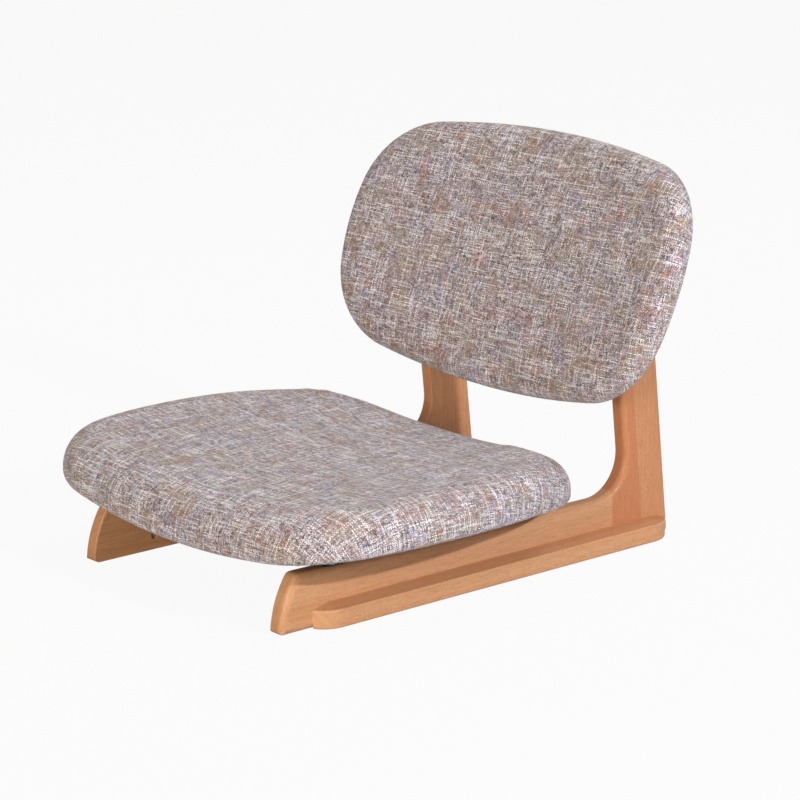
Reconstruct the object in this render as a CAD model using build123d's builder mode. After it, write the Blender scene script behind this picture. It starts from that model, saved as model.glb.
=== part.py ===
"""Legless floor chair: two beech side frames, a dished seat pad and a dished back pad.

Millimetres, +Z up.  The sitter faces -Y.  The origin lies on the floor, in the middle
of the chair's width and depth.  Left and right are as seen by someone facing the chair.
"""
from build123d import *
from dataclasses import dataclass
from math import cos, radians, sin, sqrt, tan
import os

os.makedirs("parts", exist_ok=True)

# ---------------------------------------------------------------- driving dimensions
overall_depth = 536.2       # front edge of the seat to the heels of the posts
frame_gap = 283.0           # clear width between the two side frames
board = 18.0                # thickness of the side frames' boards

# rail and post of a side frame, seen from the side
rail_height = 57.5          # at its front end
rail_fall = 0.5             # degrees that its top falls to the rear
toe_setback = 18.5          # toe of the rail behind the front edge of the seat
toe_radius = 105.0          # the rail's front end sweeps back in this arc
toe_spring = -4.0           # height at which that arc stands upright
toe_round = 7.0
crest_round = 8.0           # where the swept front end meets the rail's top
post_width = 53.4
post_lean = 0.12            # forward lean of the post, run over rise
post_height = 325.0
throat_radius = 42.0        # hollow between the rail and the post
heel_round = 18.0
seam_setback = 84.7         # glue seam between rail and post, ahead of the heel
rear_stave = 38.7           # width of the post's rear stave
roundover = 7.5             # outer edges
inner_ease = 2.0            # inner edges

# runner glued along the foot of each side frame
runner_thick = 15.0
runner_height = 24.0        # where it meets the frame
runner_nose = 30.0          # plan radius of its two ends
runner_front = 38.0         # its front tip behind the toe
runner_rear = 8.3           # its rear tip ahead of the heel
runner_top_fall = 5.5       # its top slopes down to the outer edge
runner_top_flat = 1.0       # narrow flat left along the frame
runner_edge_round = 2.0
runner_foot_round = 3.0

# steel straps across the rails, under the seat
strap_width = 22.0
strap_thick = 3.0
strap_end = 2.0             # its ends stop short of the frames' outer faces
strap_corner = 3.0
strap_setbacks = (86.5, 340.5)

# upholstery
ply = 9.0
cover = 1.2                 # upholstery fabric
wrap = 24.0                 # how far the fabric is turned in under the shell
lining = 0.8                # dust cover under the seat, fabric panel behind the back
lining_inset = 12.0
back_recline = 21.8         # degrees from vertical
back_centre_height = 274.4
back_centre_ahead = 66.3     # of the posts' heels

# hardware
dowel_diameter = 8.0
dowel_length = 30.0
dowel_chamfer = 0.8
seam_dowel_heights = (16.0, 42.0)
screw_shank = 4.0
screw_head = 8.0
screw_head_depth = 2.4
screw_point = 4.0
screw_recess = 2.0          # runner screws sink this far into the inner face
runner_screw_height = 14.5
runner_screw_front = 37.4   # first screw behind the runner's front tip
runner_screw_rear = 40.0    # last screw ahead of its rear tip
runner_screw_count = 4
runner_screw_length = 26.0
strap_screw_length = 16.0
bolt_diameter = 6.0
bolt_head = 10.0
bolt_head_height = 6.0
bolt_socket = 5.0
bolt_bore = 11.0
bolt_hole = 6.6
washer_diameter = 10.8
washer_thick = 1.2
insert_diameter = 9.0
insert_length = 7.5
insert_sink = 0.6           # below the shell's rear face
seat_bolt_spread = 60.0
seat_bolt_length = 14.0
seat_bolt_room = 30.0       # clearance drilled above the strap's underside
back_bolt_length = 25.0
back_bolt_cover = 16.0      # wood between the washer and the back pad
back_bolt_offsets = (-30.0, 20.0)   # along the back pad, from its middle


@dataclass
class Pad:
    """A cushion on a bent shell.  Local Y runs to the rear or up, local Z to the sitter."""
    plane: Plane
    front: float            # reach of the outline from the local origin
    rear: float
    half_width: float
    widest_at: float
    front_radius: float
    rear_radius: float
    side_radius: float
    front_corner: float
    rear_corner: float
    bend: float             # hollow of the shell from side to side
    below: float            # underside of the cover, under the local origin
    above: float            # top of the crown, over the local origin
    crown_across: float     # radius of the crown from side to side, hollow
    crown_along: float      # radius of the crown from front to rear, domed
    shoulder: float         # rounding where the top turns down
    hem: float              # rounding where the cover turns under

    @property
    def span(self):
        return self.half_width + 20


def tilted(origin, degrees):
    """A plane through origin whose local Y is raised from level by degrees."""
    a = radians(degrees)
    return Plane(origin=origin, x_dir=(1, 0, 0), z_dir=(0, -sin(a), cos(a)))


def facing(origin, normal):
    """A plane at origin with this normal."""
    normal = Vector(normal)
    return Plane(origin=origin, x_dir=(0, 1, 0) if abs(normal.X) > 0.5 else (1, 0, 0), z_dir=normal)


def rise(radius, reach):
    """Height that an arc of this radius gains at reach from its lowest point."""
    return radius - sqrt(radius**2 - reach**2)


# ---------------------------------------------------------------- derived places
front_edge = -overall_depth / 2
rail_inner = frame_gap / 2
rail_middle = rail_inner + board / 2
rail_outer = rail_inner + board
toe = front_edge + toe_setback
sweep_centre = (toe + toe_radius, toe_spring)
crest = sweep_centre[0] - sqrt(toe_radius**2 - (rail_height - toe_spring) ** 2)
# the round at its foot takes this much off the leaning heel
heel_trim = post_lean * heel_round * (1 + post_lean - sqrt(2 * post_lean)) / (1 + post_lean**2)
heel = overall_depth / 2 + heel_trim
seam = heel - seam_setback
front_tip = toe + runner_front
rear_tip = heel - runner_rear

deck = tilted((0, crest, rail_height), -rail_fall)      # the tops of both rails
strap_places = [front_edge + setback - crest for setback in strap_setbacks]
underside = deck.offset(strap_thick + lining)           # carries the seat's cover

seat_below = 12.5
seat_reach = 194.4
seat_middle = underside.offset(seat_below).from_local_coords((0, front_edge + seat_reach - crest, 0))
seat = Pad(
    plane=Plane(origin=seat_middle, x_dir=(1, 0, 0), z_dir=deck.z_dir),
    front=seat_reach, rear=201.6, half_width=244.5, widest_at=-29.0,
    front_radius=2280.0, rear_radius=600.0, side_radius=448.0,
    front_corner=93.0, rear_corner=57.0,
    bend=1135.0, below=seat_below, above=44.0, crown_across=1700.0, crown_along=1900.0,
    shoulder=32.0, hem=7.5,
)
back = Pad(
    plane=tilted((0, heel - back_centre_ahead, back_centre_height), 90 - back_recline),
    front=138.1, rear=139.4, half_width=244.3, widest_at=2.9,
    front_radius=1105.0, rear_radius=960.0, side_radius=283.0,
    front_corner=96.0, rear_corner=98.0,
    bend=1150.0, below=11.8, above=24.0, crown_across=1700.0, crown_along=1500.0,
    shoulder=15.0, hem=6.5,
)


def post_front(z):
    return heel - post_width - post_lean * z


# ---------------------------------------------------------------- upholstery shapes
def draw_outline(pad, inset):
    """Four wide arcs with rounded corners, drawn in the sketch that is open."""
    with Locations((0, pad.rear - pad.rear_radius)):
        Circle(pad.rear_radius - inset)
    with Locations((0, pad.front_radius - pad.front)):
        Circle(pad.front_radius - inset, mode=Mode.INTERSECT)
    for side in (1, -1):
        with Locations((side * (pad.half_width - pad.side_radius), pad.widest_at)):
            Circle(pad.side_radius - inset, mode=Mode.INTERSECT)
    fillet(vertices().group_by(Axis.Y)[0], pad.front_corner - inset)
    fillet(vertices().group_by(Axis.Y)[-1], pad.rear_corner - inset)


def bent_band(pad, bottom, top):
    """A band of constant thickness, bent about an axis in front of the pad."""
    length = max(pad.front, pad.rear) + 5
    bottom_side = bottom + rise(pad.bend - bottom, pad.span)
    top_side = top + rise(pad.bend - top, pad.span)
    with BuildPart() as band:
        with BuildSketch(Plane(origin=pad.plane.origin, x_dir=(1, 0, 0), z_dir=-pad.plane.y_dir)):
            with BuildLine():
                ThreePointArc((-pad.span, bottom_side), (0, bottom), (pad.span, bottom_side))
                Line((pad.span, bottom_side), (pad.span, top_side))
                ThreePointArc((pad.span, top_side), (0, top), (-pad.span, top_side))
                Line((-pad.span, top_side), (-pad.span, bottom_side))
            make_face()
        extrude(amount=length, both=True)
    return band.part


def bent_panel(pad, inset, bottom, top):
    """A bent band trimmed to the pad's outline."""
    with BuildPart() as panel:
        with BuildSketch(pad.plane.offset(bottom)):
            draw_outline(pad, inset)
        extrude(amount=top - bottom + 2 * rise(pad.bend, pad.span))
        add(bent_band(pad, bottom, top), mode=Mode.INTERSECT)
    return panel.part


def under_crown(pad, inset):
    """Everything below the crown: hollow from side to side, domed from front to rear."""
    sweep = 18.0
    depth = 100.0
    x, v, n = pad.plane.x_dir, pad.plane.y_dir, pad.plane.z_dir
    hub = pad.plane.origin + n * (pad.above - inset - pad.crown_along)
    a = radians(sweep / 2)
    start = Plane(
        origin=hub + (n * cos(a) + v * sin(a)) * pad.crown_along,
        x_dir=x, z_dir=n * sin(a) - v * cos(a),
    )
    side = rise(pad.crown_across, pad.span)
    with BuildPart() as body:
        with BuildSketch(start):
            with BuildLine():
                ThreePointArc((-pad.span, side), (0, 0), (pad.span, side))
                Polyline((pad.span, side), (pad.span, -depth), (-pad.span, -depth), (-pad.span, side))
            make_face()
        revolve(axis=Axis(hub, x), revolution_arc=sweep)
    return body.part


def cushion(pad, inset):
    """The padded form: bent underside, crowned top, rounded shoulder and hem."""
    bottom = inset - pad.below
    n = pad.plane.z_dir
    with BuildPart() as body:
        with BuildSketch(pad.plane.offset(bottom)):
            draw_outline(pad, inset)
        extrude(amount=pad.above + pad.below + 2 * rise(pad.bend, pad.span))
        add(bent_band(pad, bottom, bottom + 5 * pad.above), mode=Mode.INTERSECT)
        add(under_crown(pad, inset), mode=Mode.INTERSECT)
        wide = body.faces().sort_by(SortBy.AREA)[-2:]
        crown = max(wide, key=lambda face: face.normal_at(face.center()).dot(n))
        fillet(crown.edges(), pad.shoulder - inset)
        wide = body.faces().sort_by(SortBy.AREA)[-2:]
        sole = min(wide, key=lambda face: face.normal_at(face.center()).dot(n))
        fillet(sole.edges(), pad.hem - inset)
    return body.part


def lining_panel(pad):
    """Thin closing panel over the turned-in fabric, let into the opening that it leaves."""
    with BuildPart() as panel:
        add(bent_panel(pad, lining_inset, -pad.below - lining, -pad.below))
        add(bent_panel(pad, wrap, -pad.below, cover - pad.below))
    return panel.part


# ---------------------------------------------------------------- hardware shapes
def make_bolt(length):
    """Socket-head bolt, its head's seat at local Z 0 and its shank along local +Z."""
    with BuildPart() as bolt:
        Cylinder(bolt_diameter / 2, length, align=(Align.CENTER, Align.CENTER, Align.MIN))
        Cylinder(bolt_head / 2, bolt_head_height, align=(Align.CENTER, Align.CENTER, Align.MAX))
        chamfer(bolt.edges().group_by(Axis.Z)[0], 0.6)
        chamfer(bolt.edges().group_by(Axis.Z)[-1], 0.6)
        with BuildSketch(Plane.XY.offset(-bolt_head_height)):
            RegularPolygon(bolt_socket / 2, 6, major_radius=False)
        extrude(amount=bolt_head_height / 2, mode=Mode.SUBTRACT)
    return bolt.part


def make_bolt_hole(bore_length, hole_length):
    """Counterbore below local Z 0 and a clearance hole above it."""
    with BuildPart() as hole:
        Cylinder(bolt_bore / 2, bore_length, align=(Align.CENTER, Align.CENTER, Align.MAX))
        Cylinder(bolt_hole / 2, hole_length, align=(Align.CENTER, Align.CENTER, Align.MIN))
    return hole.part


def make_washer():
    """Flat washer from local Z 0 up."""
    with BuildPart() as washer:
        Cylinder(washer_diameter / 2, washer_thick, align=(Align.CENTER, Align.CENTER, Align.MIN))
        Hole(bolt_hole / 2)
    return washer.part


def make_insert():
    """Threaded insert from local Z 0 up."""
    with BuildPart() as insert:
        Cylinder(insert_diameter / 2, insert_length, align=(Align.CENTER, Align.CENTER, Align.MIN))
        chamfer(insert.edges().group_by(Axis.Z)[0], 0.6)
        Hole(bolt_diameter / 2)
    return insert.part


def make_screw(length):
    """Countersunk wood screw, its head's top at local Z 0 and its point along local +Z."""
    with BuildPart() as screw:
        with BuildSketch(Plane.XZ):
            with BuildLine():
                Polyline(
                    (0, 1.2), (1.6, 0), (screw_head / 2, 0), (screw_shank / 2, screw_head_depth),
                    (screw_shank / 2, length - screw_point), (0, length), (0, 1.2),
                )
            make_face()
        revolve(axis=Axis.Z)
    return screw.part


def make_screw_hole(length, recess):
    """The room that a countersunk screw takes, with a round recess above its head."""
    with BuildPart() as hole:
        with BuildSketch(Plane.XZ):
            with BuildLine():
                Polyline(
                    (0, -recess), (screw_head / 2, -recess), (screw_head / 2, 0),
                    (screw_shank / 2, screw_head_depth), (screw_shank / 2, length - screw_point),
                    (0, length), (0, -recess),
                )
            make_face()
        revolve(axis=Axis.Z)
    return hole.part


def make_dowel():
    """Dowel centred on the local origin, along local Z."""
    with BuildPart() as dowel:
        Cylinder(dowel_diameter / 2, dowel_length)
        chamfer(dowel.edges().filter_by(GeomType.CIRCLE), dowel_chamfer)
    return dowel.part


def placed(shape, planes):
    """Copies of a shape made along local Z, one on each plane."""
    return [shape.moved(plane.location) for plane in planes]


def group(shapes):
    """Separate solids gathered into one part."""
    with BuildPart() as gathered:
        for shape in shapes:
            add(shape)
    return gathered.part


def both_sides(planes):
    """The right-hand planes and their mirror images."""
    left = []
    for plane in planes:
        origin, normal = plane.origin, plane.z_dir
        left.append(facing((-origin.X, origin.Y, origin.Z), (-normal.X, normal.Y, normal.Z)))
    return planes + left


# ---------------------------------------------------------------- where the hardware sits
def on_deck(x, place, level, normal):
    return facing(deck.from_local_coords((x, place, level)), normal)


def on_back(offset, level):
    return facing(back.plane.from_local_coords((rail_middle, offset, level)), back.plane.z_dir)


seam_dowel_planes = [facing((rail_middle, seam, z), (0, 1, 0)) for z in seam_dowel_heights]
first_screw = front_tip + runner_screw_front
screw_pitch = (rear_tip - runner_screw_rear - first_screw) / (runner_screw_count - 1)
runner_screw_planes = [
    facing((rail_inner + screw_recess, first_screw + k * screw_pitch, runner_screw_height), (1, 0, 0))
    for k in range(runner_screw_count)
]
strap_screw_planes = [on_deck(rail_middle, place, strap_thick, -deck.z_dir) for place in strap_places]

# the washers' seats, and how far the inserts are let into the shells
seat_face = strap_thick + rise(seat.bend, seat_bolt_spread / 2)
seat_insert_level = seat_face + lining + cover + insert_sink
seat_bolt_planes = [on_deck(seat_bolt_spread / 2, place, 0, deck.z_dir) for place in strap_places]
seat_insert_planes = [
    on_deck(seat_bolt_spread / 2, place, seat_insert_level, deck.z_dir) for place in strap_places
]
back_face = rise(back.bend, rail_middle) - back.below - lining
back_insert_level = back_face + lining + cover + insert_sink
back_bolt_planes = [on_back(offset, back_face - back_bolt_cover) for offset in back_bolt_offsets]
back_insert_planes = [on_back(offset, back_insert_level) for offset in back_bolt_offsets]

seat_washer_planes = [plane.offset(-washer_thick) for plane in both_sides(seat_bolt_planes)]
back_washer_planes = [plane.offset(-washer_thick) for plane in both_sides(back_bolt_planes)]

dowel = make_dowel()
seam_dowels = placed(dowel, both_sides(seam_dowel_planes))
runner_screw_holes = placed(make_screw_hole(runner_screw_length, 2 * screw_recess), runner_screw_planes)
strap_screw_holes = placed(make_screw_hole(strap_screw_length, 1), both_sides(strap_screw_planes))
seat_bolt_holes = placed(make_bolt_hole(bolt_head_height, seat_bolt_room), both_sides(seat_bolt_planes))
back_bolt_holes = placed(make_bolt_hole(70, 40), both_sides(back_bolt_planes))
seat_insert_shapes = placed(make_insert(), both_sides(seat_insert_planes))
back_insert_shapes = placed(make_insert(), both_sides(back_insert_planes))


# ---------------------------------------------------------------- right side frame
def corner_cutter(x, corner, radius, inward, width):
    """A square corner less its round, running across the side frame from x."""
    with BuildPart() as cutter:
        with BuildSketch(Plane.YZ.offset(x)):
            with Locations(corner):
                Rectangle(radius, radius, align=(Align.MAX if inward < 0 else Align.MIN, Align.MIN))
            with Locations((corner[0] + inward * radius, corner[1] + radius)):
                Circle(radius, mode=Mode.SUBTRACT)
        extrude(amount=width)
    return cutter.part


with BuildPart() as side_frame:
    with BuildSketch(Plane.YZ.offset(rail_inner)):
        foot = sweep_centre[0] - sqrt(toe_radius**2 - toe_spring**2)
        half = (rail_height + toe_spring) / 2
        sweep = sweep_centre[0] - sqrt(toe_radius**2 - (half - toe_spring) ** 2)
        fall = tan(radians(rail_fall))
        throat_y = (post_front(rail_height) - post_lean * fall * crest) / (1 - post_lean * fall)
        throat = (throat_y, rail_height - fall * (throat_y - crest))
        with BuildLine():
            ThreePointArc((foot, 0), (sweep, half), (crest, rail_height))
            Polyline(
                (crest, rail_height),
                throat,
                (post_front(post_height), post_height),
                (heel - post_lean * post_height, post_height),
                (heel, 0),
                (foot, 0),
            )
        make_face()
        fillet(vertices().sort_by_distance(throat)[0], throat_radius)
        fillet(vertices().sort_by_distance((crest, rail_height))[0], crest_round)
    extrude(amount=board)
    outer_edges = faces().sort_by(Axis.X)[-1].edges()
    fillet([edge for edge in outer_edges if edge.center().Z < post_height - 1], roundover)
    inner_edges = faces().sort_by(Axis.X)[0].edges()
    fillet([edge for edge in inner_edges if 1 < edge.center().Z < post_height - 1], inner_ease)
    add(corner_cutter(rail_inner, (heel, 0), heel_round, -1, board), mode=Mode.SUBTRACT)
    add(corner_cutter(rail_inner, (toe, 0), toe_round, 1, board), mode=Mode.SUBTRACT)
    add(bent_band(back, -back.below - lining, back.above + 100), mode=Mode.SUBTRACT)
    for hole in seam_dowels + runner_screw_holes + strap_screw_holes + back_bolt_holes:
        add(hole, mode=Mode.SUBTRACT)

seam_plane = Plane(origin=(0, seam, 0), z_dir=(0, 1, 0))
stave_plane = Plane(origin=(0, heel - rear_stave, 0), z_dir=(0, 1, post_lean))

with BuildPart() as right_rail:
    add(side_frame.part)
    split(bisect_by=seam_plane, keep=Keep.BOTTOM)

with BuildPart() as right_post_front_stave:
    add(side_frame.part)
    split(bisect_by=seam_plane, keep=Keep.TOP)
    split(bisect_by=stave_plane, keep=Keep.BOTTOM)

with BuildPart() as right_post_rear_stave:
    add(side_frame.part)
    split(bisect_by=stave_plane, keep=Keep.TOP)

with BuildPart() as right_runner:
    nose_reach = runner_nose - sqrt(runner_nose**2 - (runner_nose - runner_thick) ** 2)
    reach = rear_tip - front_tip + 2 * nose_reach
    with BuildSketch(Plane.XY):
        with Locations((rail_outer + runner_thick - 1.5 * runner_nose, (rear_tip + front_tip) / 2)):
            RectangleRounded(3 * runner_nose, reach, runner_nose)
    extrude(amount=runner_height)
    top_face = faces().sort_by(Axis.Z)[-1]
    chamfer(top_face.edges(), runner_thick - runner_top_flat, runner_top_fall, reference=top_face)
    shoulder_height = runner_height - runner_top_fall
    fillet([edge for edge in edges() if abs(edge.center().Z - shoulder_height) < 0.01], runner_edge_round)
    fillet(edges().group_by(Axis.Z)[0], runner_foot_round)
    split(bisect_by=Plane.YZ.offset(rail_outer), keep=Keep.TOP)
    add(corner_cutter(rail_outer, (rear_tip, 0), heel_round, -1, runner_thick), mode=Mode.SUBTRACT)
    for hole in runner_screw_holes:
        add(hole, mode=Mode.SUBTRACT)

# ---------------------------------------------------------------- left side frame
with BuildPart() as left_rail:
    add(mirror(right_rail.part, about=Plane.YZ, mode=Mode.PRIVATE))

with BuildPart() as left_post_front_stave:
    add(mirror(right_post_front_stave.part, about=Plane.YZ, mode=Mode.PRIVATE))

with BuildPart() as left_post_rear_stave:
    add(mirror(right_post_rear_stave.part, about=Plane.YZ, mode=Mode.PRIVATE))

with BuildPart() as left_runner:
    add(mirror(right_runner.part, about=Plane.YZ, mode=Mode.PRIVATE))


# ---------------------------------------------------------------- straps
def make_strap(place):
    with BuildPart() as strap:
        with BuildSketch(deck):
            with Locations((0, place)):
                RectangleRounded(2 * (rail_outer - strap_end), strap_width, strap_corner)
        extrude(amount=strap_thick)
        for hole in strap_screw_holes + seat_bolt_holes:
            add(hole, mode=Mode.SUBTRACT)
    return strap.part


with BuildPart() as front_seat_strap:
    add(make_strap(strap_places[0]))

with BuildPart() as rear_seat_strap:
    add(make_strap(strap_places[1]))

# ---------------------------------------------------------------- seat
seat_core = cushion(seat, cover)
seat_ply_band = bent_band(seat, cover - seat.below, cover - seat.below + ply)

with BuildPart() as seat_shell:
    add(seat_core)
    add(seat_ply_band, mode=Mode.INTERSECT)
    for hole in seat_insert_shapes + seat_bolt_holes:
        add(hole, mode=Mode.SUBTRACT)

with BuildPart() as seat_foam:
    add(seat_core)
    add(seat_ply_band, mode=Mode.SUBTRACT)

with BuildPart() as seat_cover:
    add(cushion(seat, 0))
    add(seat_core, mode=Mode.SUBTRACT)
    add(bent_panel(seat, wrap, -seat.below - cover, 2 * cover - seat.below), mode=Mode.SUBTRACT)

with BuildPart() as seat_dust_cover:
    add(lining_panel(seat))
    for hole in seat_bolt_holes:
        add(hole, mode=Mode.SUBTRACT)

# ---------------------------------------------------------------- back
back_core = cushion(back, cover)
back_ply_band = bent_band(back, cover - back.below, cover - back.below + ply)

with BuildPart() as back_shell:
    add(back_core)
    add(back_ply_band, mode=Mode.INTERSECT)
    for hole in back_insert_shapes + back_bolt_holes:
        add(hole, mode=Mode.SUBTRACT)

with BuildPart() as back_foam:
    add(back_core)
    add(back_ply_band, mode=Mode.SUBTRACT)

with BuildPart() as back_cover:
    add(cushion(back, 0))
    add(back_core, mode=Mode.SUBTRACT)
    add(bent_panel(back, wrap, -back.below - cover, 2 * cover - back.below), mode=Mode.SUBTRACT)

with BuildPart() as back_rear_panel:
    add(lining_panel(back))
    for hole in back_bolt_holes:
        add(hole, mode=Mode.SUBTRACT)

# ---------------------------------------------------------------- dowels, screws and bolts
with BuildPart() as post_dowels:
    add(group(seam_dowels))

with BuildPart() as runner_screws:
    add(group(placed(make_screw(runner_screw_length), both_sides(runner_screw_planes))))

with BuildPart() as strap_screws:
    add(group(placed(make_screw(strap_screw_length), both_sides(strap_screw_planes))))

with BuildPart() as seat_bolts:
    add(group(placed(make_bolt(seat_bolt_length), seat_washer_planes)))

with BuildPart() as seat_washers:
    add(group(placed(make_washer(), seat_washer_planes)))

with BuildPart() as seat_inserts:
    add(group(seat_insert_shapes))

with BuildPart() as back_bolts:
    add(group(placed(make_bolt(back_bolt_length), back_washer_planes)))

with BuildPart() as back_washers:
    add(group(placed(make_washer(), back_washer_planes)))

with BuildPart() as back_inserts:
    add(group(back_insert_shapes))

# ---------------------------------------------------------------- labels and files
pieces = {
    "right_rail": right_rail,
    "right_post_front_stave": right_post_front_stave,
    "right_post_rear_stave": right_post_rear_stave,
    "right_runner": right_runner,
    "left_rail": left_rail,
    "left_post_front_stave": left_post_front_stave,
    "left_post_rear_stave": left_post_rear_stave,
    "left_runner": left_runner,
    "post_dowels": post_dowels,
    "runner_screws": runner_screws,
    "front_seat_strap": front_seat_strap,
    "rear_seat_strap": rear_seat_strap,
    "strap_screws": strap_screws,
    "seat_shell": seat_shell,
    "seat_foam": seat_foam,
    "seat_cover": seat_cover,
    "seat_dust_cover": seat_dust_cover,
    "seat_bolts": seat_bolts,
    "seat_washers": seat_washers,
    "seat_inserts": seat_inserts,
    "back_shell": back_shell,
    "back_foam": back_foam,
    "back_cover": back_cover,
    "back_rear_panel": back_rear_panel,
    "back_bolts": back_bolts,
    "back_washers": back_washers,
    "back_inserts": back_inserts,
}
for label, piece in pieces.items():
    piece.part.label = label
    export_step(piece.part, f"parts/{label}.step")
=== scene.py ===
"""Looks of the legless floor chair: beech side frames, slub-woven seat and back pads."""
import bpy
import numpy as np
from math import atan2, cos, pi, radians, sin, sqrt
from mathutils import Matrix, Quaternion, Vector, noise


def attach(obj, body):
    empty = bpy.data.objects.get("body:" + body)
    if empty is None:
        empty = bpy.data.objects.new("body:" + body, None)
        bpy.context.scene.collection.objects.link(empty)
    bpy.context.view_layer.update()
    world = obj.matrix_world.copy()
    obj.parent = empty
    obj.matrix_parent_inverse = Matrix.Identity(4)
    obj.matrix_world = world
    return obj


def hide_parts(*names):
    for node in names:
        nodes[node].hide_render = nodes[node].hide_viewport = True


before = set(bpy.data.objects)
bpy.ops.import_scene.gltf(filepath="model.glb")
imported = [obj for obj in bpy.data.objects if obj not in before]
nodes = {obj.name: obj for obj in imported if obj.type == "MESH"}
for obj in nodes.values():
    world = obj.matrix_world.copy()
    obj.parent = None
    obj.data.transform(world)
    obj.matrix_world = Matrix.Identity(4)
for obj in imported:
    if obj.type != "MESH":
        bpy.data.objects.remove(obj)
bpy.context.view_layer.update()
scene = bpy.context.scene
MM = 0.001


# ------------------------------------------------------------------ shader building
class Value:
    """A socket in a material; arithmetic on it adds Math nodes."""

    def __init__(self, paint, socket):
        self.paint, self.socket = paint, socket

    def math(self, operation, *values):
        return self.paint.node("ShaderNodeMath", dict(enumerate(values)), operation=operation)

    def __add__(self, other):
        return self.math("ADD", self, other)

    def __sub__(self, other):
        return self.math("SUBTRACT", self, other)

    def __rsub__(self, other):
        return self.math("SUBTRACT", other, self)

    def __mul__(self, other):
        return self.math("MULTIPLY", self, other)

    def __truediv__(self, other):
        return self.math("DIVIDE", self, other)

    def __pow__(self, other):
        return self.math("POWER", self, other)

    def __gt__(self, other):
        return self.math("GREATER_THAN", self, other)

    def __neg__(self):
        return self.math("MULTIPLY", self, -1.0)

    __radd__ = __add__
    __rmul__ = __mul__

    def floor(self):
        return self.math("FLOOR", self)

    def fraction(self):
        return self.math("FRACT", self)

    def cosine(self):
        return self.math("COSINE", self)

    def size(self):
        return self.math("ABSOLUTE", self)

    def larger(self, other):
        return self.math("MAXIMUM", self, other)

    def between(self, low, high):
        """0 at low, 1 at high, eased, and held outside."""
        values = {0: self, 1: float(low), 2: float(high), 3: 0.0, 4: 1.0}
        return self.paint.node("ShaderNodeMapRange", values, interpolation_type="SMOOTHSTEP")


class Paint:
    """The node tree of one material or world."""

    def __init__(self, owner):
        self.owner = owner
        owner.use_nodes = True
        self.tree = owner.node_tree
        self.tree.nodes.clear()

    def node(self, kind, values=None, output=0, stops=None, **settings):
        """Add a node: its settings first, then a value or a link for each named socket."""
        made = self.tree.nodes.new(kind)
        for key, value in settings.items():
            setattr(made, key, value)
        for k, (place, colour) in enumerate(stops or ()):
            ramp = made.color_ramp.elements
            element = ramp[k] if k < len(ramp) else ramp.new(1.0)
            element.position, element.color = place, (*colour, 1)
        for key, value in (values or {}).items():
            if isinstance(value, Value):
                self.tree.links.new(value.socket, made.inputs[key])
            else:
                made.inputs[key].default_value = value
        return Value(self, made.outputs[output]) if made.outputs else None

    def outputs(self, value):
        """Every output of the node that a value came from."""
        return [Value(self, socket) for socket in value.socket.node.outputs]

    def vector(self, x=0.0, y=0.0, z=0.0):
        return self.node("ShaderNodeCombineXYZ", {0: x, 1: y, 2: z})

    def parts(self, vector):
        return self.outputs(self.node("ShaderNodeSeparateXYZ", {0: vector}))

    def place(self):
        return self.node("ShaderNodeTexCoord", output=3)

    def noise(self, vector, scale=1.0, detail=0.0, roughness=0.5, flat=False):
        values = {"Vector": vector, "Scale": scale, "Detail": detail, "Roughness": roughness}
        return self.node("ShaderNodeTexNoise", values, noise_dimensions="2D" if flat else "3D")

    def mix(self, factor, a, b, blend="MIX"):
        a, b = [(*c, 1) if isinstance(c, tuple) else c for c in (a, b)]
        values = {0: factor, 6: a, 7: b}
        return self.node("ShaderNodeMix", values, output=2, data_type="RGBA", blend_type=blend)

    def shade(self, colour, factor):
        return self.node("ShaderNodeVectorMath", {0: colour, "Scale": factor}, operation="SCALE")

    def bump(self, height, distance, strength=1.0):
        values = {"Height": height, "Distance": distance, "Strength": strength}
        return self.node("ShaderNodeBump", values)

    def finish(self, **values):
        """Principled surface from values named as its sockets, with _ for a space."""
        named = {key.replace("_", " "): value for key, value in values.items()}
        self.node("ShaderNodeOutputMaterial", {"Surface": self.node("ShaderNodeBsdfPrincipled", named)})
        return self.owner


def linear(*rgb):
    """An sRGB colour, 0 to 255, as the linear values that shaders take."""
    return tuple(c / 3294.6 if c <= 10.3 else ((c / 255 + 0.055) / 1.055) ** 2.4 for c in rgb)


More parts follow.
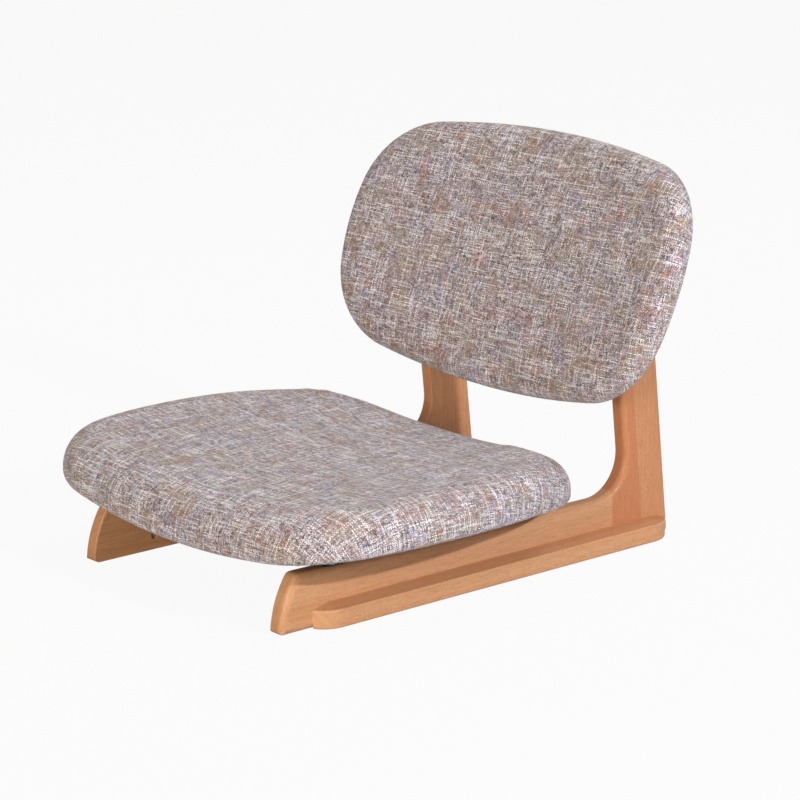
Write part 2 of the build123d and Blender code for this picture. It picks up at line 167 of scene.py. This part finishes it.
# ------------------------------------------------------------------ materials
def beech(name, grain, tone, shift, slope_shade=0.0):
    """Satin-lacquered steamed beech.

    grain is the axis it runs along.  tone is its redness, from 0 to 1; the last argument,
    also from 0 to 1, darkens its sloping top as painted shade.
    """
    paint = Paint(bpy.data.materials.new(name))
    axes = paint.parts(paint.node("ShaderNodeMapping", {"Vector": paint.place(), "Location": shift}))
    along = axes.pop(grain)
    across, deep = axes
    # growth rings cut through lengthwise, wandering slowly along the board
    drift = paint.noise(paint.vector(along * 1.6, across * 7, deep * 7), detail=1.0)
    ring = ((across + 0.06) ** 2 + (deep - 0.09) ** 2) ** 0.5 * 170 + drift * 5
    late_wood = ring.fraction().between(0.25, 0.95)
    plank = paint.noise(paint.vector(along * 3, across * 70, deep * 70), detail=2.0)
    fibre = paint.noise(paint.vector(along * 60, across * 1100, deep * 1100), detail=2.0, roughness=0.6)
    fleck = paint.noise(paint.vector(along * 420, across * 1900, deep * 1900), detail=0.0)
    ray = fleck.between(0.60, 0.70)
    pale, warm, dark = linear(227, 173, 128), linear(213, 152, 106), linear(160, 94, 56)
    red = linear(206, 129, 85)
    colour = paint.mix(late_wood * 0.35 + plank.between(0.35, 0.65) * 0.4, pale, warm)
    colour = paint.mix(tone, colour, red)
    colour = paint.mix(fibre.between(0.42, 0.72) * 0.28, colour, dark)
    colour = paint.mix(ray * 0.3, colour, dark)
    # painted highlight: the rounded edges are lightened a little in their colour
    facing = paint.parts(paint.node("ShaderNodeTexCoord", output=1))
    turned = facing[0].size()
    edge = turned.between(0.15, 0.4) * (1 - turned.between(0.8, 0.97))
    colour = paint.mix(edge * 0.1, colour, linear(236, 188, 144))
    # under these lamps a runner's sloping top comes out paler than the photo shows it
    # painted shade: the sloping top is darkened in its colour, not by the lamps
    if slope_shade:
        sloping = facing[2].between(0.86, 0.91) * (1 - facing[2].between(0.95, 0.98))
        colour = paint.mix(sloping * slope_shade, colour, dark)
    return paint.finish(
        Base_Color=colour,
        Roughness=fibre * 0.16 + 0.36 - edge * 0.06,
        Normal=paint.bump(fibre * 0.6 - ray * 0.3, 0.1 * MM, 0.5),
        Specular_IOR_Level=0.2,
        Coat_Weight=0.12,
        Coat_Roughness=0.25,
    )


def slub_weave(name):
    """Plain weave of mottled taupe yarns, faintly rust, ochre and lavender, with thin white slubs."""
    paint = Paint(bpy.data.materials.new(name))
    laid = paint.node("ShaderNodeUVMap", uv_map="weave")
    u, v, _ = paint.parts(laid)
    pitch, wander, roundness = 1.25 * MM, 1.8, 2.4
    mottle_run, slub_run = 9 * MM, 30 * MM
    a = u / pitch + paint.noise(laid, 13.0, 1.0, flat=True) * wander
    b = v / pitch + paint.noise(paint.vector(v, u), 12.0, 1.0, flat=True) * wander
    warp_number, weft_number = a.floor(), b.floor()
    warp_middle, weft_middle = a.fraction() - 0.5, b.fraction() - 0.5
    # over one yarn and under the next
    warp = ((b - 0.5 + warp_number) * pi).cosine() * 0.5 - warp_middle * warp_middle * roundness
    weft = -((a - 0.5 + weft_number) * pi).cosine() * 0.5 - weft_middle * weft_middle * roundness
    height = warp.larger(weft)
    rust, blue, ochre = [
        paint.noise(paint.vector(u, v, place), scale, 2.0).between(0.46, 0.64)
        for place, scale in ((0.11, 38.0), (0.73, 32.0), (0.42, 26.0))
    ]

    def yarn(number, run, middle, seed, rare):
        """Colour of a yarn: number picks it, run is the length along it, middle the place across."""
        tone = paint.noise(paint.vector(number * 3.17 + seed, run / mottle_run), 1.0, 2.0, 0.8, flat=True)
        dye = paint.noise(paint.vector(number * 1.73 + seed, run / mottle_run), 1.0, flat=True)
        slub = paint.noise(paint.vector(number * 5.31 + seed, run / slub_run), 1.0, flat=True)
        colour = paint.node("ShaderNodeValToRGB", {0: tone}, stops=[
            (0.34, linear(80, 68, 65)), (0.43, linear(137, 123, 120)),
            (0.50, linear(182, 169, 169)), (0.57, linear(212, 203, 208)),
            (0.66, linear(236, 231, 240)),
        ])
        colour = paint.mix(dye.between(0.52, 0.62) * (rust * 0.6 + 0.15), colour, linear(188, 128, 94))
        colour = paint.mix((1 - dye).between(0.52, 0.62) * (blue * 0.45 + 0.14), colour, linear(144, 150, 188))
        colour = paint.mix(ochre * 0.3, colour, linear(170, 148, 112))
        white = slub.between(rare, rare + 0.025) * (1 - middle * middle * 2.5)
        return paint.mix(white, colour, linear(255, 253, 255))

    wefts = yarn(weft_number, u, weft_middle, 57.9, 0.645)
    warps = yarn(warp_number, v, warp_middle, 11.3, 0.672)
    numbers = paint.vector(warp_number, weft_number)
    crossing = paint.node("ShaderNodeTexWhiteNoise", {0: numbers}, noise_dimensions="2D")
    lint = paint.noise(laid, 2300.0, 1.0, flat=True)
    # painted shade: the colour is darkened where the yarns dip, besides a random brightness for each crossing
    # and fine lint
    dip_shade_and_tone = height.between(-0.6, 0.3) * 0.75 + crossing * 0.45 + lint * 0.2 + 0.07
    colour = paint.shade(paint.mix(warp > weft, wefts, warps), dip_shade_and_tone)
    return paint.finish(
        Base_Color=colour,
        Roughness=0.95 - lint * 0.12,
        Normal=paint.bump(height + lint * 0.4, 0.3 * MM, 0.8),
        Specular_IOR_Level=0.15,
        Sheen_Weight=0.2,
        Sheen_Roughness=0.5,
    )


def spun_cloth(name):
    """Black spun-bonded cloth with its grid of pressed dimples."""
    paint = Paint(bpy.data.materials.new(name))
    u, v, _ = paint.parts(paint.place())
    pitch = 2.2 * MM
    a, b = (u / pitch).fraction() - 0.5, (v / pitch).fraction() - 0.5
    dimple = (a * a + b * b).between(0.02, 0.12)
    fibre = paint.noise(paint.place(), 1500.0, 3.0, 0.7)
    crease = paint.noise(paint.place(), 22.0, 2.0)
    colour = paint.mix(fibre * dimple + crease * 0.3, linear(16, 16, 17), linear(58, 58, 60))
    return paint.finish(
        Base_Color=colour,
        Roughness=fibre * 0.15 + 0.78,
        Normal=paint.bump(dimple * 0.6 + fibre * 0.5 + crease * 1.5, 0.2 * MM, 0.7),
    )


def metal(name, colour, metallic, low, high, grain):
    """Coated or plated steel with fine handling marks; low and high bound its roughness."""
    paint = Paint(bpy.data.materials.new(name))
    grit = paint.noise(paint.place(), grain, 4.0, 0.65)
    stain = paint.noise(paint.place(), 60.0, 2.0).between(0.3, 0.7)
    return paint.finish(
        Base_Color=paint.mix(stain * 0.5, colour, tuple(c * 0.7 for c in colour)),
        Metallic=metallic,
        Roughness=grit * (high - low) + low,
        Normal=paint.bump(grit, 0.05 * MM, 0.4),
    )


def plywood(name):
    """Face veneer of the bent shells, with its grain from side to side."""
    paint = Paint(bpy.data.materials.new(name))
    x, y, z = paint.parts(paint.place())
    veneer = paint.noise(paint.vector(x * 60, y * 700, z * 700), detail=3.0, roughness=0.6)
    figure = paint.noise(paint.vector(x * 3, y * 40, z * 40), detail=2.0)
    colour = paint.mix(veneer * 0.6 + figure * 0.4, linear(220, 190, 148), linear(172, 134, 92))
    return paint.finish(
        Base_Color=colour,
        Roughness=veneer * 0.2 + 0.6,
        Normal=paint.bump(veneer, 0.1 * MM, 0.5),
    )


def thread(name, colour):
    """Twisted sewing thread."""
    paint = Paint(bpy.data.materials.new(name))
    ply = paint.noise(paint.place(), 2600.0, 1.0)
    return paint.finish(
        Base_Color=paint.mix(ply, tuple(c * 0.6 for c in colour), colour),
        Roughness=ply * 0.2 + 0.6,
        Normal=paint.bump(ply, 0.1 * MM, 0.6),
    )


# ------------------------------------------------------------------ pads
class Pad:
    """A cushion's form on its own plane: x across, v to the rear or up, n to the sitter.  Metres."""

    def __init__(self, origin, recline, **sizes):
        self.origin = np.array(origin) * MM
        self.__dict__.update({key: np.array(value) * MM for key, value in sizes.items()})
        a = radians(recline)
        self.axes = np.array([(1, 0, 0), (0, cos(a), sin(a)), (0, -sin(a), cos(a))])

    def world(self, local):
        return self.origin + np.asarray(local) @ self.axes

    def outline(self, across, along):
        """Even stations round the outline: centre, radius and direction of the arc at each.

        They start in the middle of the front left corner.  Four wide arcs meet in four corner
        arcs; across and along are the counts on the wide sides.
        """
        flank = self.half_width - self.side_radius
        corners = []
        for side, front in ((-1, True), (1, True), (1, False), (-1, False)):
            wide = self.front_radius if front else self.rear_radius
            small = self.front_corner if front else self.rear_corner
            hub = np.array((0, wide - self.front if front else self.rear - wide))
            hub_side = np.array((side * flank, self.widest_at))
            ra, rb, gap = wide - small, self.side_radius - small, np.linalg.norm(hub_side - hub)
            reach = (ra**2 - rb**2 + gap**2) / (2 * gap)
            ahead = (hub_side - hub) / gap
            lift = np.array((-ahead[1], ahead[0])) * sqrt(ra**2 - reach**2)
            found = [hub + ahead * reach + sign * lift for sign in (1, -1)]
            centre = (min if front else max)(found, key=lambda point: point[1])
            corners.append((centre, small, (centre - hub) / ra, (centre - hub_side) / rb, hub, wide, hub_side))
        stations = []
        for k, count in enumerate((across, along, across, along)):
            here, there = corners[k], corners[(k + 1) % 4]
            level = k % 2 == 0
            hub, radius = (here[4], here[5]) if level else (here[6], self.side_radius)
            first, last = (here[2], there[2]) if level else (here[3], there[3])
            middle = [(c[2] + c[3]) / np.linalg.norm(c[2] + c[3]) for c in (here, there)]
            arcs = [
                (*here[:2], middle[0], first), (hub, radius, first, last), (*there[:2], last, middle[1])
            ]
            turns = [atan2(a[0] * b[1] - a[1] * b[0], a @ b) for _, _, a, b in arcs]
            lengths = [turn * arc[1] for turn, arc in zip(turns, arcs)]
            for step in range(count):
                at = sum(lengths) * step / count
                for turn, length, (centre, size, start, _) in zip(turns, lengths, arcs):
                    if at <= length:
                        break
                    at -= length
                c, s = cos(turn * at / length), sin(turn * at / length)
                stations.append((*centre, size, start[0] * c - start[1] * s, start[0] * s + start[1] * c))
        return np.array(stations)

    def ring(self, stations, inset):
        return stations[:, :2] + (stations[:, 2:3] - inset) * stations[:, 3:5]

    def crown(self, plan):
        across = self.crown_across - np.sqrt(self.crown_across**2 - plan[..., 0] ** 2)
        along = self.crown_along - np.sqrt(self.crown_along**2 - plan[..., 1] ** 2)
        height = self.above + across - along
        # where the filling is fuller or sparer than that: rise, place on both sides, spread
        for rise, x, v, spread in self.filling:
            away = (np.abs(plan[..., 0]) - x) ** 2 + (plan[..., 1] - v) ** 2
            height = height + rise * np.exp(-away / (2 * spread**2))
        return height

    def sole(self, plan):
        bend = self.bend + self.below
        return bend - np.sqrt(bend**2 - plan[..., 0] ** 2) - self.below


def patch(edge, nx, ny):
    """Rows of points filled in from a closed edge of 2 (nx + ny) points."""
    front, right = edge[: nx + 1], edge[nx : nx + ny + 1]
    rear = edge[nx + ny : 2 * nx + ny + 1][::-1]
    left = np.vstack([edge[2 * nx + ny :], edge[:1]])[::-1]
    s = np.linspace(0, 1, nx + 1)[None, :, None]
    t = np.linspace(0, 1, ny + 1)[:, None, None]
    ruled = (1 - t) * front[None] + t * rear[None] + (1 - s) * left[:, None] + s * right[:, None]
    corners = (1 - s) * (1 - t) * front[0] + s * (1 - t) * front[-1]
    return ruled - corners - (1 - s) * t * rear[0] - s * t * rear[-1]


def patch_edge(first, nx, ny):
    """Indices of a patch's own edge, in the outline's order, where its points start at first."""
    row = nx + 1
    loop = [first + k for k in range(nx)] + [first + nx + row * k for k in range(ny)]
    loop += [first + nx + row * ny - k for k in range(nx)]
    return loop + [first + row * (ny - k) for k in range(ny)]


def closed_shell(name, pad, layers, nx, ny, finish):
    """A closed quad mesh: a patch on top, rings down the side and a patch below.

    layers are (local points, weave map), from the top patch outwards and round to the lower one.
    """
    top, *rings, sole = layers
    faces, loops, points, laid = [], [], [], []
    for part in (top, *rings, sole):
        first = sum(len(p) for p in points)
        whole = part is top or part is sole
        loops.append(patch_edge(first, nx, ny) if whole else [first + k for k in range(2 * (nx + ny))])
        points.append(part[0])
        laid.append(part[1])
        if whole:
            for row in range(ny):
                for k in range(nx):
                    a = first + row * (nx + 1) + k
                    quad = (a, a + 1, a + nx + 2, a + nx + 1)
                    faces.append(quad if part is top else quad[::-1])
    for upper, lower in zip(loops, loops[1:]):
        for k in range(len(upper)):
            m = (k + 1) % len(upper)
            faces.append((upper[m], upper[k], lower[k], lower[m]))
    mesh = bpy.data.meshes.new(name)
    mesh.from_pydata(pad.world(np.vstack(points)).tolist(), [], faces)
    corners = np.zeros(len(mesh.loops), np.int32)
    mesh.loops.foreach_get("vertex_index", corners)
    mesh.uv_layers.new(name="weave").data.foreach_set("uv", np.vstack(laid)[corners].ravel())
    mesh.update()
    mesh.shade_smooth()
    mesh.materials.append(finish)
    made = bpy.data.objects.new(name, mesh)
    scene.collection.objects.link(made)
    return made


def make_pad(name, pad, finish, nx=78, ny=64):
    """The stuffed pad: crowned top, rounded shoulder, side, hem and the fabric turned in below."""
    ring_step, turned_in, sole_inset, hidden_stretch = 5 * MM, (11 * MM, 15 * MM), 24 * MM, 1.3
    stations = pad.outline(nx, ny)
    inner = pad.ring(stations, pad.shoulder)
    rings, soft = [], []
    turns = max(6, round(pad.shoulder * pi / 2 / ring_step))
    for k in range(1, turns + 1):
        angle = pi / 2 * k / turns
        plan = pad.ring(stations, pad.shoulder * (1 - sin(angle)))
        rings.append(np.column_stack([plan, pad.crown(plan) - pad.shoulder * (1 - cos(angle))]))
        soft.append(1.0)
    edge = pad.ring(stations, 0)
    top, foot = rings[-1][:, 2], pad.sole(edge) + pad.hem
    for k in (1, 2, 3):
        rings.append(np.column_stack([edge, top + (foot - top) * k / 3]))
        soft.append(1.0 - 0.15 * k)
    for k in range(1, 5):
        angle = pi / 2 * k / 4
        plan = pad.ring(stations, pad.hem * (1 - cos(angle)))
        rings.append(np.column_stack([plan, pad.sole(plan) + pad.hem * (1 - sin(angle))]))
        soft.append(0.4 - 0.1 * k)
    for inset in turned_in:
        plan = pad.ring(stations, inset)
        rings.append(np.column_stack([plan, pad.sole(plan)]))
        soft.append(0.0)
    grid = patch(inner, nx, ny)
    layers = [(np.dstack([grid, pad.crown(grid)]).reshape(-1, 3), grid.reshape(-1, 2))]
    reach, before = np.zeros(len(edge)), np.column_stack([inner, pad.crown(inner)])
    for ring in rings:
        reach = reach + np.linalg.norm(ring - before, axis=1)
        layers.append((ring, inner + stations[:, 3:5] * reach[:, None]))
        before = ring
    grid = patch(pad.ring(stations, sole_inset), nx, ny)
    layers.append((np.dstack([grid, pad.sole(grid)]).reshape(-1, 3), grid.reshape(-1, 2) * hidden_stretch))
    made = closed_shell(name, pad, layers, nx, ny, finish)
    softness = np.concatenate([
        np.full(len(layers[0][0]), 1.0), np.repeat(soft, len(edge)), np.zeros(len(layers[-1][0]))
    ])
    fill_cover(made, softness)
    smooth = made.modifiers.new("smooth", "SUBSURF")
    smooth.levels = smooth.render_levels = 1
    return made


def read(mesh, what="co"):
    source = mesh.vertices if what == "co" else mesh.vertex_normals
    flat = np.empty(len(mesh.vertices) * 3, np.float32)
    source.foreach_get(what, flat)
    return flat.reshape(-1, 3).astype(float)


def fill_cover(made, softness, slack=3.5 * MM, least=-0.3 * MM, most=1.6 * MM):
    """Stuff the pad: a slacker cover is blown out as cloth, held along its hem, and kept near its form."""
    mesh = made.data
    form, out = read(mesh), read(mesh, "vector")
    swell = np.zeros(len(form))
    mesh.vertices.foreach_set("co", (form - out * (slack * softness)[:, None]).ravel())
    held = made.vertex_groups.new(name="held")
    held.add([int(k) for k in np.flatnonzero(softness < 0.05)], 1.0, "REPLACE")
    cover = made.modifiers.new("cover", "CLOTH")
    cover.settings.quality = 6
    cover.settings.mass = 0.25
    cover.settings.tension_stiffness = cover.settings.compression_stiffness = 12
    cover.settings.bending_stiffness = 1.5
    cover.settings.use_pressure = True
    cover.settings.uniform_pressure_force = 4
    cover.settings.vertex_group_mass = "held"
    cover.settings.effector_weights.gravity = 0
    for step in range(1, 21):
        scene.frame_set(step)
    blown = read(made.evaluated_get(bpy.context.evaluated_depsgraph_get()).data)
    swell = ((blown - form) * out).sum(axis=1)
    made.modifiers.remove(cover)
    scene.frame_set(1)
    # the filling is never quite even
    lumps = np.array([
        noise.noise(Vector(p) * 9.0) + 0.5 * noise.noise(Vector(p) * 24.0 + Vector((7, 3, 5))) for p in form
    ])
    swell = np.clip(swell + lumps * 0.9 * MM * softness, least, most)
    mesh.vertices.foreach_set("co", (form + out * swell[:, None]).ravel())
    mesh.update()


def make_lining(name, pad, finish, inset, thick, nx=60, ny=50):
    """A thin panel of cloth laid over the pad's underside, its raw edge folded in."""
    stations = pad.outline(nx, ny)

    def laid(plan, lift):
        return np.concatenate([plan, (pad.sole(plan) - lift)[..., None]], axis=-1).reshape(-1, 3)

    upper = patch(pad.ring(stations, inset + 8 * MM), nx, ny)
    layers = [(laid(upper, 0.05 * MM), upper.reshape(-1, 2))]
    for distance, lift in ((0.5, 0.05), (0.0, 0.3), (0.2, 0.75), (1.0, 0.95), (7.0, 1.0)):
        plan = pad.ring(stations, inset + distance * MM)
        layers.append((laid(plan, lift * thick), plan))
    lower = patch(pad.ring(stations, inset + 8.5 * MM), nx, ny)
    layers.append((laid(lower, thick * 0.85), lower.reshape(-1, 2)))
    made = closed_shell(name, pad, layers, nx, ny, finish)
    edge = pad.ring(stations, inset)
    width, length = np.ptp(edge, axis=0)
    # around the bend the cloth is a little longer than it looks from above
    bend = pad.bend + pad.below
    stretch = bend * np.arcsin(width / 2 / bend) / (width / 2)
    after = np.roll(edge, -1, axis=0)
    area = abs((edge[:, 0] * after[:, 1] - after[:, 0] * edge[:, 1]).sum()) / 2 * stretch
    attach(made, "root")
    return made


# ------------------------------------------------------------------ rows of staples and stitches
def row_tree():
    """Geometry nodes: one bent wire at every pitch along a path, its legs into the cloth."""
    tree = bpy.data.node_groups.new("row_of_wires", "GeometryNodeTree")
    face = tree.interface
    face.new_socket("Path", in_out="INPUT", socket_type="NodeSocketGeometry")
    for label, kind in (
        ("Pitch", "Float"), ("Length", "Float"), ("Radius", "Float"), ("Leg", "Float"),
        ("Slant", "Float"), ("Unevenness", "Float"), ("Up", "Vector"), ("Finish", "Material"),
    ):
        face.new_socket(label, in_out="INPUT", socket_type="NodeSocket" + kind)
    face.new_socket("Row", in_out="OUTPUT", socket_type="NodeSocketGeometry")

    def node(kind, values=None, **settings):
        made = tree.nodes.new(kind)
        for key, value in settings.items():
            setattr(made, key, value)
        for key, value in (values or {}).items():
            if isinstance(value, bpy.types.NodeSocket):
                tree.links.new(value, made.inputs[key])
            else:
                made.inputs[key].default_value = value
        return made.outputs

    given = node("NodeGroupInput")
    half = node("ShaderNodeMath", {0: given["Length"], 1: 0.5}, operation="MULTIPLY")[0]
    less = node("ShaderNodeMath", {0: half, 1: -1.0}, operation="MULTIPLY")[0]
    down = node("ShaderNodeMath", {0: given["Leg"], 1: -1.0}, operation="MULTIPLY")[0]
    bridge = node("GeometryNodeCurvePrimitiveLine", {
        0: node("ShaderNodeCombineXYZ", {0: less, 2: given["Radius"]})[0],
        1: node("ShaderNodeCombineXYZ", {0: half, 2: given["Radius"]})[0],
    })[0]
    legs = [
        node("GeometryNodeCurvePrimitiveLine", {
            0: node("ShaderNodeCombineXYZ", {0: end, 2: given["Radius"]})[0],
            1: node("ShaderNodeCombineXYZ", {0: end, 2: down})[0],
        })[0]
        for end in (less, half)
    ]
    join = tree.nodes.new("GeometryNodeJoinGeometry")
    for part in (bridge, *legs):
        tree.links.new(part, join.inputs[0])
    section = node("GeometryNodeCurvePrimitiveCircle", {"Resolution": 6, "Radius": given["Radius"]})[0]
    wire = node("GeometryNodeCurveToMesh", {
        "Curve": join.outputs[0], "Profile Curve": section, "Fill Caps": True,
    })[0]
    path = node("GeometryNodeMeshToCurve", {"Mesh": given["Path"]})[0]
    points = node("GeometryNodeCurveToPoints", {"Curve": path, "Length": given["Pitch"]}, mode="LENGTH")
    turn = node("FunctionNodeAlignRotationToVector", {"Vector": given["Up"]}, axis="Z")[0]
    turn = node("FunctionNodeAlignRotationToVector", {
        "Rotation": turn, "Vector": points["Tangent"],
    }, axis="X", pivot_axis="Z")[0]
    less_uneven = node("ShaderNodeMath", {0: given["Unevenness"], 1: -1.0}, operation="MULTIPLY")[0]
    chance = node("FunctionNodeRandomValue", {
        2: less_uneven, 3: given["Unevenness"], "Seed": 7,
    }, data_type="FLOAT")[1]
    angle = node("ShaderNodeMath", {0: given["Slant"], 1: chance}, operation="ADD")[0]
    twist = node("FunctionNodeAxisAngleToRotation", {"Axis": (0, 0, 1), "Angle": angle})[0]
    turn = node("FunctionNodeRotateRotation", {
        "Rotation": turn, "Rotate By": twist,
    }, rotation_space="LOCAL")[0]
    row = node("GeometryNodeInstanceOnPoints", {
        "Points": points["Points"], "Instance": wire, "Rotation": turn,
    })[0]
    row = node("GeometryNodeRealizeInstances", {"Geometry": row})[0]
    row = node("GeometryNodeSetMaterial", {"Geometry": row, "Material": given["Finish"]})[0]
    node("NodeGroupOutput", {"Row": row})
    return tree


wires = row_tree()


def make_row(name, pad, inset, lift, finish, **sizes):
    """Staples or stitches along the pad's outline, on its underside."""
    stations = pad.outline(90, 75)
    plan = pad.ring(stations, inset)
    points = pad.world(np.column_stack([plan, pad.sole(plan) - lift]))
    mesh = bpy.data.meshes.new(name + "_path")
    count = len(points)
    mesh.from_pydata(points.tolist(), [(k, (k + 1) % count) for k in range(count)], [])
    path = bpy.data.objects.new(name + "_path", mesh)
    scene.collection.objects.link(path)
    maker = path.modifiers.new("row", "NODES")
    maker.node_group = wires
    known = {item.name: item.identifier for item in wires.interface.items_tree if item.in_out == "INPUT"}
    for label, value in dict(sizes, Up=tuple(-pad.axes[2]), Finish=finish).items():
        maker[known[label]] = value
    made_mesh = bpy.data.meshes.new_from_object(path.evaluated_get(bpy.context.evaluated_depsgraph_get()))
    made_mesh.name = name
    made_mesh.shade_smooth()
    bpy.data.objects.remove(path)
    made = bpy.data.objects.new(name, made_mesh)
    scene.collection.objects.link(made)
    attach(made, "root")
    return made


seat = Pad(
    (0, -73.56, 72.44), -0.5,
    front=194.4, rear=201.6, half_width=244.5, widest_at=-29.0,
    front_radius=2280.0, rear_radius=600.0, side_radius=448.0, front_corner=93.0, rear_corner=57.0,
    bend=1135.0, below=12.5, above=44.0, crown_across=1700.0, crown_along=1900.0, shoulder=32.0, hem=7.5,
    filling=[(5.0, 138, 168, 42), (-3.0, 236, -25, 60)],
)
back = Pad(
    (0, 203.14, 274.4), 90 - 21.8,
    front=138.1, rear=139.4, half_width=244.3, widest_at=2.9,
    front_radius=1105.0, rear_radius=960.0, side_radius=283.0, front_corner=96.0, rear_corner=98.0,
    bend=1150.0, below=11.8, above=24.0, crown_across=1700.0, crown_along=1500.0, shoulder=15.0, hem=6.5,
    filling=[],
)
lining, lining_inset = 0.8 * MM, 12 * MM

weave = slub_weave("slub_weave")
spun = spun_cloth("spun_cloth")
zinc = metal("zinc_plate", linear(188, 188, 184), 1.0, 0.22, 0.45, 700.0)
black = metal("black_enamel", linear(24, 24, 25), 0.0, 0.3, 0.5, 900.0)
ply = plywood("bent_plywood")
sewing = thread("sewing_thread", linear(150, 136, 136))

# ------------------------------------------------------------------ upholstery
for name, pad in (("seat_pad", seat), ("back_pad", back)):
    made = make_pad(name, pad, weave)
    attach(made, "root")
    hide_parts(name.replace("pad", "cover"), name.replace("pad", "foam"))

seat_lining = make_lining("seat_lining", seat, spun, lining_inset, lining)
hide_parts("seat_dust_cover")
back_panel = make_lining("back_panel", back, weave, lining_inset, lining)
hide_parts("back_rear_panel")

staples = make_row(
    "staples", seat, lining_inset + 5 * MM, lining, zinc,
    Pitch=34 * MM, Length=10.5 * MM, Radius=0.4 * MM, Leg=2 * MM, Slant=0.0, Unevenness=0.35,
)
slip_stitches = make_row(
    "slip_stitches", back, lining_inset - 0.3 * MM, 0.3 * MM, sewing,
    Pitch=7 * MM, Length=2.6 * MM, Radius=0.3 * MM, Leg=1 * MM, Slant=0.5, Unevenness=0.12,
)

# ------------------------------------------------------------------ finishes of the carried-over pieces
# grain axis, redness and, for the runners, the painted shade on the sloping top
WOOD = {
    "right_rail": (1, 0.05), "left_rail": (1, 0.1),
    "right_runner": (1, 0.0, 0.5), "left_runner": (1, 0.05, 0.5),
    "right_post_front_stave": (2, 0.75), "left_post_front_stave": (2, 0.25),
    "right_post_rear_stave": (2, 0.4), "left_post_rear_stave": (2, 0.3), "post_dowels": (1, 0.0),
}
for k, (name, (grain, tone, *slope_shade)) in enumerate(WOOD.items()):
    # each board is cut from another place in the log
    shift = (0.031 * k, 0.173 * k, 0.117 * k)
    nodes[name].data.materials.clear()
    nodes[name].data.materials.append(beech("beech_" + name, grain, tone, shift, *slope_shade))
for finish, names in {
    black: ("front_seat_strap", "rear_seat_strap", "strap_screws"),
    zinc: (
        "runner_screws", "seat_bolts", "seat_washers", "seat_inserts",
        "back_bolts", "back_washers", "back_inserts",
    ),
    ply: ("seat_shell", "back_shell"),
    weave: ("seat_cover", "back_cover", "back_rear_panel", "seat_foam", "back_foam"),
    spun: ("seat_dust_cover",),
}.items():
    for name in names:
        nodes[name].data.materials.clear()
        nodes[name].data.materials.append(finish)


# ------------------------------------------------------------------ studio
def softbox(name, toward, distance, size, power, tint=(1, 1, 1)):
    """A round lamp that looks at the chair's middle from this direction."""
    lamp = bpy.data.lights.new(name, "AREA")
    lamp.shape, lamp.size, lamp.energy, lamp.color = "DISK", size, power, tint
    made = bpy.data.objects.new(name, lamp)
    scene.collection.objects.link(made)
    middle = Vector((0, 0, 0.15))
    made.location = middle + Vector(toward).normalized() * distance
    made.rotation_euler = (middle - made.location).to_track_quat("-Z", "Y").to_euler()


softbox("key", (1.0, 0.08, 0.525), 3.2, 0.1, 49, (0.96, 1.0, 1.09))
softbox("front_fill", (0.5, -1.0, 0.3), 3.4, 1.4, 57, (1.05, 0.97, 0.87))
softbox("top", (0.0, 0.5, 1.0), 3.2, 2.0, 31)

air = Paint(bpy.data.worlds.new("studio"))
scene.world = air.owner
rays = {value.socket.name: value for value in air.outputs(air.node("ShaderNodeLightPath"))}
# the camera sees white; the lacquer and metal mirror only a little of it
seen = rays["Is Camera Ray"].larger(rays["Is Glossy Ray"] * 0.15)
dim = air.node("ShaderNodeBackground", {"Color": (1.0, 0.93, 0.84, 1), "Strength": 0.15})
white = air.node("ShaderNodeBackground", {"Color": (1, 1, 1, 1), "Strength": 1.0})
air.node("ShaderNodeOutputWorld", {"Surface": air.node("ShaderNodeMixShader", {0: seen, 1: dim, 2: white})})

ground = bpy.data.meshes.new("floor")
ground.from_pydata([(-6, -6, 0), (6, -6, 0), (6, 6, 0), (-6, 6, 0)], [], [(0, 1, 2, 3)])
floor = bpy.data.objects.new("floor", ground)
scene.collection.objects.link(floor)
sweep = Paint(bpy.data.materials.new("white_floor"))
rays = {value.socket.name: value for value in sweep.outputs(sweep.node("ShaderNodeLightPath"))}
paper = sweep.node("ShaderNodeBsdfDiffuse", {"Color": (0.66, 0.66, 0.66, 1)})
glow = sweep.node("ShaderNodeEmission", {"Color": (1, 1, 1, 1), "Strength": 1.0})
shown = sweep.node("ShaderNodeMixShader", {0: rays["Is Camera Ray"] * 0.935, 1: paper, 2: glow})
sweep.node("ShaderNodeOutputMaterial", {"Surface": shown})
ground.materials.append(sweep.owner)

lens = bpy.data.cameras.new("camera")
lens.lens, lens.sensor_width = 136.55, 36.0
lens.clip_start, lens.clip_end = 0.1, 50
camera = bpy.data.objects.new("camera", lens)
scene.collection.objects.link(camera)
camera.location = (2.2642, -1.9294, 0.9341)
sight = (Vector((0.12549, -0.0739, 0.1941)) - camera.location).to_track_quat("-Z", "Y")
camera.rotation_euler = (sight @ Quaternion((0, 0, 1), 0.0034)).to_euler()
scene.camera = camera
scene.view_settings.view_transform = "Standard"
